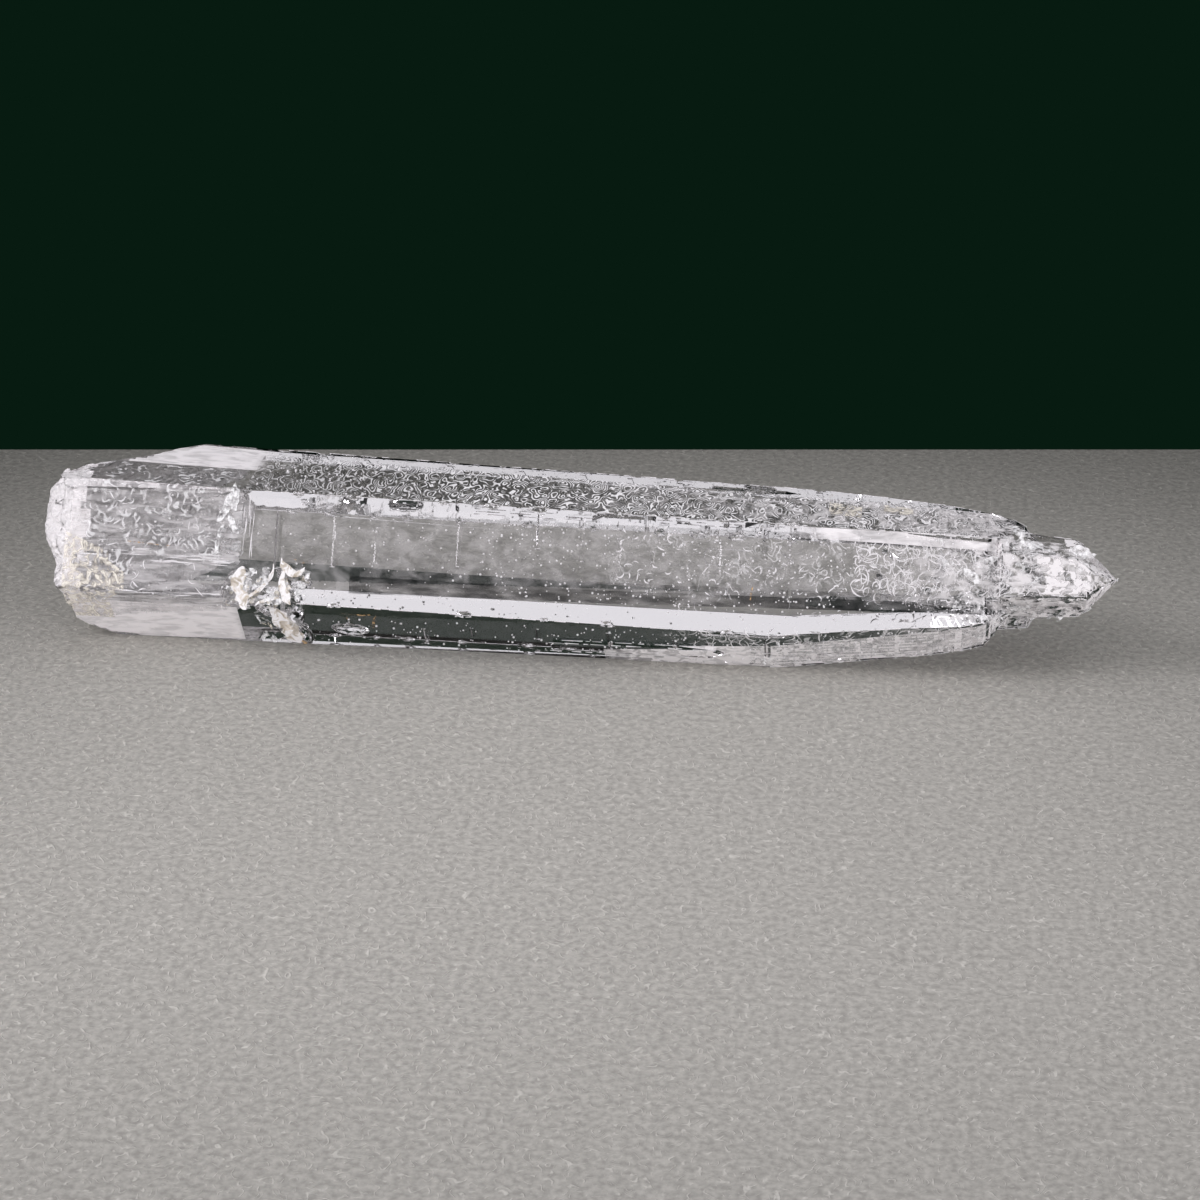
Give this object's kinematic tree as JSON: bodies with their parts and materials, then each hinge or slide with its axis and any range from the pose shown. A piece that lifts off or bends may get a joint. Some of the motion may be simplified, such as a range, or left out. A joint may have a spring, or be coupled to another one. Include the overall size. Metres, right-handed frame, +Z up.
{
  "type": "lemurian quartz crystal",
  "caption": "Clear natural quartz wand lying on a prism face, with a rough broken base, a tapering six-sided body and a stubby pointed tip.",
  "frame": {"origin": "middle of the bounding box, on the surface the crystal lies on", "axes": "+X along the crystal from the broken base to the tip, +Z up, the viewer stands at -Y"},
  "size_m": [0.1186, 0.0228, 0.018],
  "materials": {
    "clear_quartz": "natural crystal faces, etched, with a frosted broken base",
    "milky_veil": "white healed fractures and bubbles inside the crystal",
    "iron_stain": "cream to tan iron stain on fractures"
  },
  "bodies": {
    "root": {"quartz_crystal": "clear_quartz"}
  },
  "joints": []
}
